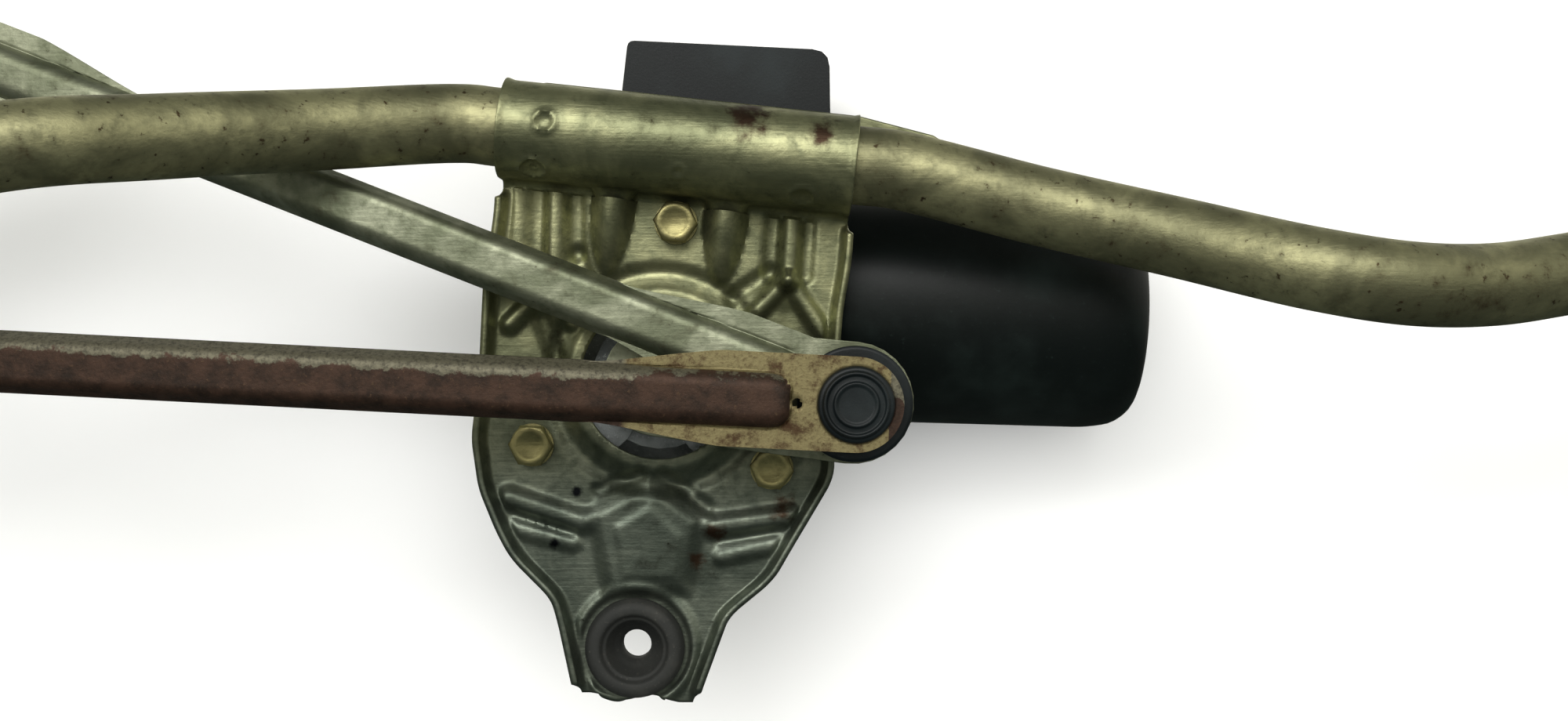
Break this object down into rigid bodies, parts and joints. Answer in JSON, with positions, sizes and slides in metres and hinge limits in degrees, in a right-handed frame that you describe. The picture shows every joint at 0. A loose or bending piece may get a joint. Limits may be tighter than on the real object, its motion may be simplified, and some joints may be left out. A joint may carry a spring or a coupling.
{
  "type": "windshield wiper linkage with motor",
  "caption": "Wiper linkage on a bent tube frame: motor and bracket in the middle, a crank with two link rods, two wiper spindles, and grommet mounts.",
  "frame": {"origin": "axis of the lower grommet, on the grommet face that rests on the car body", "axes": "+X along the frame tube towards the foot, +Y from the lower grommet towards the tube, +Z along the wiper spindles towards the wipers"},
  "size_m": [0.8213, 0.1854, 0.192],
  "materials": {
    "zinc_plated_tube": "satin",
    "zinc_plated_sheet": "satin",
    "yellow_zinc_fasteners": "satin",
    "natural_rubber": "matte",
    "die_cast_aluminium": "satin",
    "black_moulded_plastic": "matte",
    "tinned_copper": "satin",
    "sintered_bronze": "satin",
    "black_painted_steel": "satin",
    "ferrite": "matte",
    "white_nylon": "satin",
    "brush_carbon": "matte",
    "machined_steel": "satin",
    "grey_plated_steel": "satin",
    "brown_aged_steel": "matte"
  },
  "bodies": {
    "frame": {"frame_tube": "zinc_plated_tube", "motor_bracket": "zinc_plated_sheet", "bracket_rear_strap": "zinc_plated_sheet", "lower_grommet": "natural_rubber", "motor_bolt_top": "yellow_zinc_fasteners", "motor_bolt_left": "yellow_zinc_fasteners", "motor_bolt_right": "yellow_zinc_fasteners", "right_foot": "zinc_plated_sheet", "right_grommet": "natural_rubber", "gearbox_housing": "die_cast_aluminium", "gear_cover": "black_moulded_plastic", "terminal_blade_1": "tinned_copper", "terminal_blade_2": "tinned_copper", "terminal_blade_3": "tinned_copper", "output_bush": "sintered_bronze", "motor_can": "black_painted_steel", "magnet_upper": "ferrite", "magnet_lower": "ferrite", "brush_plate": "white_nylon", "brush_upper": "brush_carbon", "brush_lower": "brush_carbon", "armature_bush": "sintered_bronze", "left_bearing_housing": "die_cast_aluminium", "left_lower_bush": "sintered_bronze", "left_upper_bush": "sintered_bronze", "centre_bearing_housing": "die_cast_aluminium", "centre_lower_bush": "sintered_bronze", "centre_upper_bush": "sintered_bronze"},
    "armature": {"armature_shaft": "machined_steel", "armature_core": "machined_steel", "armature_winding": "tinned_copper", "commutator": "tinned_copper"},
    "crank": {"output_shaft": "machined_steel", "worm_wheel": "white_nylon", "crank_arm": "grey_plated_steel", "crank_nut": "yellow_zinc_fasteners", "crank_pin": "machined_steel", "pin_dust_ring": "black_moulded_plastic"},
    "front_link": {"front_rod": "brown_aged_steel", "front_rod_socket": "black_moulded_plastic"},
    "rear_link": {"rear_rod": "grey_plated_steel", "rear_rod_socket": "black_moulded_plastic"},
    "left_wiper_spindle": {"left_spindle": "machined_steel", "left_thrust_washer": "white_nylon", "left_retaining_ring": "machined_steel", "left_lever": "zinc_plated_sheet", "left_ball_stud": "machined_steel", "left_ball_socket": "black_moulded_plastic"},
    "centre_wiper_spindle": {"centre_spindle": "machined_steel", "centre_thrust_washer": "white_nylon", "centre_retaining_ring": "machined_steel", "centre_lever": "zinc_plated_sheet", "centre_ball_stud": "machined_steel", "centre_ball_socket": "black_moulded_plastic"}
  },
  "joints": [
    {"name": "crank_turn", "type": "hinge", "parent": "frame", "child": "crank", "pos_m": [0.0063, 0.0693, 0], "axis": [0, 0, 1], "range_deg": [-180, 0]},
    {"name": "armature_spin", "type": "hinge", "parent": "frame", "child": "armature", "pos_m": [0.00694, 0.09079, -0.03], "axis": [0.9996, -0.0297, 0], "continuous": true},
    {"name": "front_rod_pivot", "type": "hinge", "parent": "crank", "child": "front_link", "pos_m": [0.05599, 0.06373, 0.0375], "axis": [0, 0, 1], "range_deg": [0, 181.23]},
    {"name": "rear_rod_pivot", "type": "hinge", "parent": "crank", "child": "rear_link", "pos_m": [0.05599, 0.06373, 0.027], "axis": [0, 0, 1], "range_deg": [0, 174.87]},
    {"name": "left_spindle_swing", "type": "hinge", "parent": "frame", "child": "left_wiper_spindle", "pos_m": [-0.47081, 0.13814, 0.09], "axis": [0, 0, 1], "range_deg": [-93.11, 0]},
    {"name": "centre_spindle_swing", "type": "hinge", "parent": "frame", "child": "centre_wiper_spindle", "pos_m": [-0.25066, 0.12976, 0.09], "axis": [0, 0, 1], "range_deg": [0, 87.94]}
  ],
  "couplings": [
    {"joint": "armature_spin", "follows": "crank_turn", "ratio": 24},
    {"joint": "front_rod_pivot", "follows": "crank_turn", "ratio": -1.004},
    {"joint": "rear_rod_pivot", "follows": "crank_turn", "ratio": -0.96871},
    {"joint": "left_spindle_swing", "follows": "crank_turn", "ratio": 0.51448},
    {"joint": "centre_spindle_swing", "follows": "crank_turn", "ratio": -0.48575}
  ]
}
